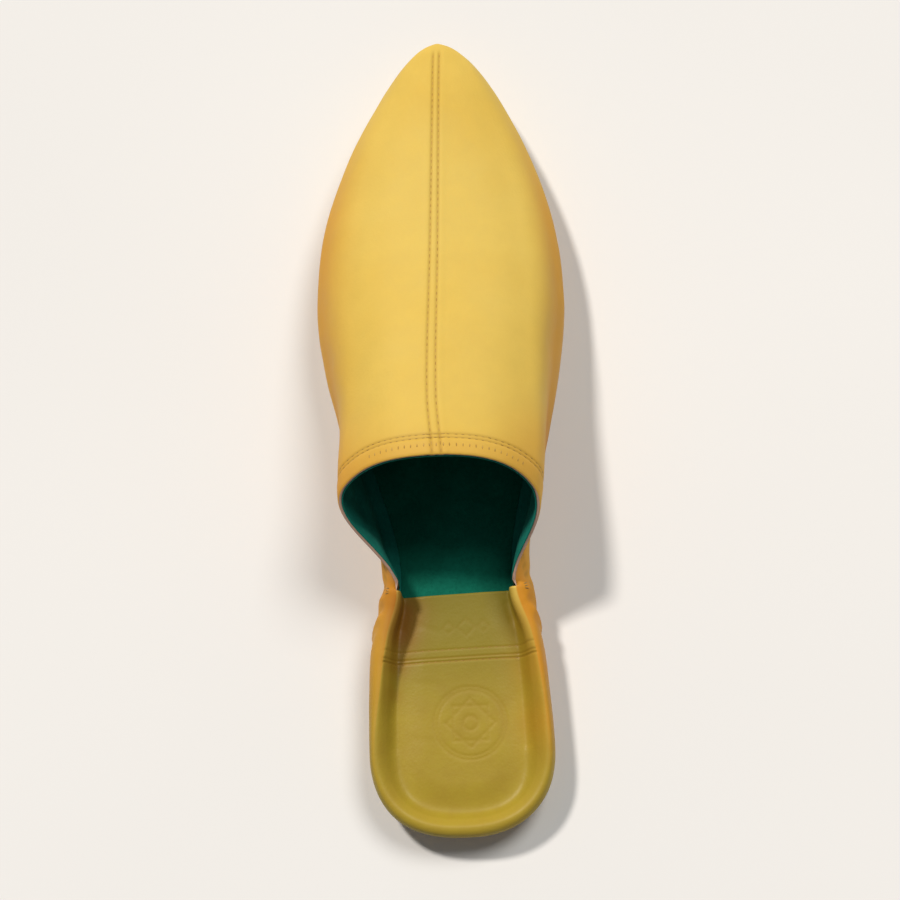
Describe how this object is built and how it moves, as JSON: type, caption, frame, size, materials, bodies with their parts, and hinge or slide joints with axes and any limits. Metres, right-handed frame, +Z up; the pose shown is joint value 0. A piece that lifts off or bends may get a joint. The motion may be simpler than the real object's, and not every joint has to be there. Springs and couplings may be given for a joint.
{
  "type": "babouche slipper",
  "caption": "Pointed leather slipper for the left foot, with a closed vamp, an open throat and a low heel quarter folded flat inside.",
  "frame": {"origin": "middle of the slipper's bounding box, on the ground it stands on", "axes": "+Z up, +Y from the heel towards the toe, +X towards the inner (medial) side of the foot"},
  "size_m": [0.0872, 0.2854, 0.062],
  "materials": {
    "outsole": "matt vegetable-tanned sole leather",
    "insole": "matt green lining leather",
    "upper": "satin yellow goatskin"
  },
  "bodies": {
    "root": {"outsole": "outsole", "insole": "insole", "upper": "upper"}
  },
  "joints": []
}
